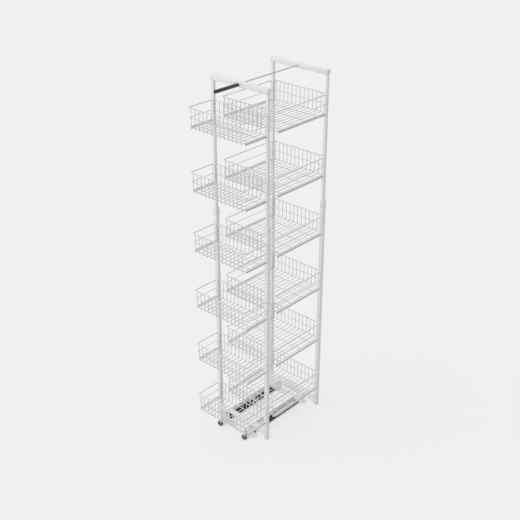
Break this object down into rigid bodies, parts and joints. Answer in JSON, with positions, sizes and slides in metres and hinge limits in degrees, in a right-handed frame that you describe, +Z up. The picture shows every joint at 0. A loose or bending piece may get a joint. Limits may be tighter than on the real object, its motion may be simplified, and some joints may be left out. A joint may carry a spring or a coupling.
{
  "type": "pull out larder unit",
  "caption": "Tall pull-out larder unit: two upright tube frames on ball runners, telescopic at mid height, carrying shallow front and deep rear wire baskets.",
  "frame": {"origin": "middle of the unit on the cabinet floor, under the middle of its box", "axes": "+Z up; -Y the way the unit pulls out of its cabinet; +X to the right seen from the front"},
  "size_m": [0.326, 0.544, 1.733],
  "materials": {
    "basket_wire": "satin silver lacquer",
    "frame_paint": "satin white lacquer",
    "rail_steel": "rolled and zinc plated",
    "zinc_plate": "pressed and zinc plated",
    "cage_steel": "bright",
    "fixing_steel": "zinc plated",
    "shoe_plastic": "moulded, satin",
    "strip_plastic": "moulded, satin",
    "cover_plastic": "moulded, satin",
    "light_plastic": "moulded, satin",
    "glide_plastic": "moulded, matt",
    "buffer_rubber": "matt",
    "arm_paint": "black powder coat"
  },
  "bodies": {
    "floor_unit": {"floor_plate_front": "zinc_plate", "floor_plate_rear": "zinc_plate", "floor_rail_left": "rail_steel", "floor_rail_right": "rail_steel", "rail_shoe_front_left": "shoe_plastic", "rail_shoe_front_right": "shoe_plastic", "rail_shoe_rear_left": "shoe_plastic", "rail_shoe_rear_right": "shoe_plastic", "rail_cover_left": "cover_plastic", "rail_cover_right": "cover_plastic", "cover_strips": "light_plastic", "rail_buffers": "buffer_rubber"},
    "middle_left": {"middle_rail_left": "rail_steel"},
    "middle_right": {"middle_rail_right": "rail_steel"},
    "lower_cage_left": {"lower_ball_cage_left": "cage_steel"},
    "lower_cage_right": {"lower_ball_cage_right": "cage_steel"},
    "upper_cage_left": {"upper_ball_cage_left": "cage_steel"},
    "upper_cage_right": {"upper_ball_cage_right": "cage_steel"},
    "carriage": {"moving_rail_left": "rail_steel", "moving_rail_right": "rail_steel", "top_strips": "strip_plastic", "cross_plate_front": "frame_paint", "cross_plate_rear": "frame_paint", "carriage_screws": "fixing_steel", "lower_post_front_left": "frame_paint", "lower_post_front_right": "frame_paint", "lower_post_rear_left": "frame_paint", "lower_post_rear_right": "frame_paint", "foot_plugs": "light_plastic", "collar_front_left": "light_plastic", "collar_front_right": "light_plastic", "collar_rear_left": "light_plastic", "collar_rear_right": "light_plastic", "clamp_screws": "fixing_steel", "front_basket_1": "basket_wire", "front_basket_2": "basket_wire", "front_basket_3": "basket_wire", "front_basket_4": "basket_wire", "rear_basket_1": "basket_wire", "rear_basket_2": "basket_wire", "rear_basket_3": "basket_wire", "rear_basket_4": "basket_wire", "lower_basket_bolts": "fixing_steel"},
    "upper_frame": {"upper_post_front_left": "frame_paint", "upper_post_front_right": "frame_paint", "upper_post_rear_left": "frame_paint", "upper_post_rear_right": "frame_paint", "glide_plugs": "glide_plastic", "top_rail_front": "frame_paint", "top_rail_rear": "frame_paint", "rail_end_caps": "light_plastic", "top_arm": "arm_paint", "arm_screws": "arm_paint", "tie_rod": "fixing_steel", "front_basket_5": "basket_wire", "front_basket_6": "basket_wire", "rear_basket_5": "basket_wire", "rear_basket_6": "basket_wire", "upper_basket_bolts": "fixing_steel"}
  },
  "joints": [
    {"name": "pull_out", "type": "slide", "parent": "floor_unit", "child": "carriage", "axis": [0, -1, 0], "range_m": [0, 0.45]},
    {"name": "middle_left_slide", "type": "slide", "parent": "floor_unit", "child": "middle_left", "axis": [0, -1, 0], "range_m": [0, 0.225]},
    {"name": "lower_cage_left_slide", "type": "slide", "parent": "floor_unit", "child": "lower_cage_left", "axis": [0, -1, 0], "range_m": [0, 0.1125]},
    {"name": "upper_cage_left_slide", "type": "slide", "parent": "floor_unit", "child": "upper_cage_left", "axis": [0, -1, 0], "range_m": [0, 0.3375]},
    {"name": "middle_right_slide", "type": "slide", "parent": "floor_unit", "child": "middle_right", "axis": [0, -1, 0], "range_m": [0, 0.225]},
    {"name": "lower_cage_right_slide", "type": "slide", "parent": "floor_unit", "child": "lower_cage_right", "axis": [0, -1, 0], "range_m": [0, 0.1125]},
    {"name": "upper_cage_right_slide", "type": "slide", "parent": "floor_unit", "child": "upper_cage_right", "axis": [0, -1, 0], "range_m": [0, 0.3375]},
    {"name": "frame_height", "type": "slide", "parent": "carriage", "child": "upper_frame", "axis": [0, 0, 1], "range_m": [0, 0.09]}
  ],
  "couplings": [
    {"joint": "middle_left_slide", "follows": "pull_out", "ratio": 0.5},
    {"joint": "lower_cage_left_slide", "follows": "pull_out", "ratio": 0.25},
    {"joint": "upper_cage_left_slide", "follows": "pull_out", "ratio": 0.75},
    {"joint": "middle_right_slide", "follows": "pull_out", "ratio": 0.5},
    {"joint": "lower_cage_right_slide", "follows": "pull_out", "ratio": 0.25},
    {"joint": "upper_cage_right_slide", "follows": "pull_out", "ratio": 0.75}
  ]
}
